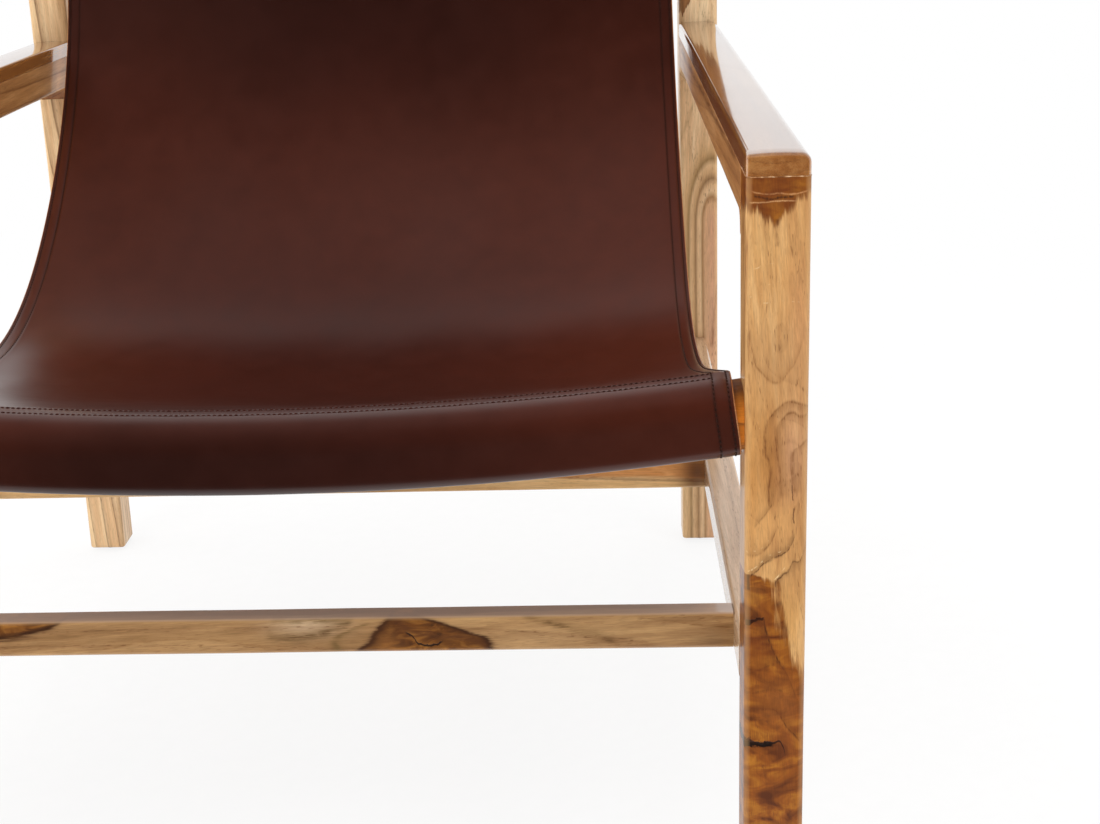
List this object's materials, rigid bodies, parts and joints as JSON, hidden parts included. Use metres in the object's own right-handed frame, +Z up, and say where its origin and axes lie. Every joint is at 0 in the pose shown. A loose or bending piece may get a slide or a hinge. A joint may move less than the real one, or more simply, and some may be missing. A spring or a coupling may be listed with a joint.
{
  "type": "leather sling lounge chair",
  "caption": "Low open-sided lounge chair: square-section solid wood frame with flat arms and one thick leather strip hung from a dished front rail to a top rail.",
  "frame": {"origin": "on the floor under the middle of the chair", "axes": "+Z up, -Y toward the open front of the seat, +X toward the viewer's right when facing the front"},
  "size_m": [0.692, 0.771, 0.705],
  "materials": {
    "oiled_wood": "satin oiled, strongly figured",
    "saddle_leather": "smooth satin dark brown",
    "dowel_wood": "plain turned beech-like wood",
    "glide_plastic": "matt"
  },
  "bodies": {
    "root": {"front_leg_right": "oiled_wood", "front_leg_left": "oiled_wood", "back_post_right": "oiled_wood", "back_post_left": "oiled_wood", "arm_rail_right": "oiled_wood", "arm_rail_left": "oiled_wood", "arm_cap_right": "oiled_wood", "arm_cap_left": "oiled_wood", "side_stretcher_right": "oiled_wood", "side_stretcher_left": "oiled_wood", "front_stretcher": "oiled_wood", "mid_stretcher": "oiled_wood", "front_seat_rail": "oiled_wood", "top_back_rail": "oiled_wood", "leather_sling": "saddle_leather", "cap_dowel_front_right": "dowel_wood", "cap_dowel_middle_right": "dowel_wood", "cap_dowel_rear_right": "dowel_wood", "cap_dowel_front_left": "dowel_wood", "cap_dowel_middle_left": "dowel_wood", "cap_dowel_rear_left": "dowel_wood", "foot_glide_front_right": "glide_plastic", "foot_glide_rear_right": "glide_plastic", "foot_glide_front_left": "glide_plastic", "foot_glide_rear_left": "glide_plastic"}
  },
  "joints": []
}
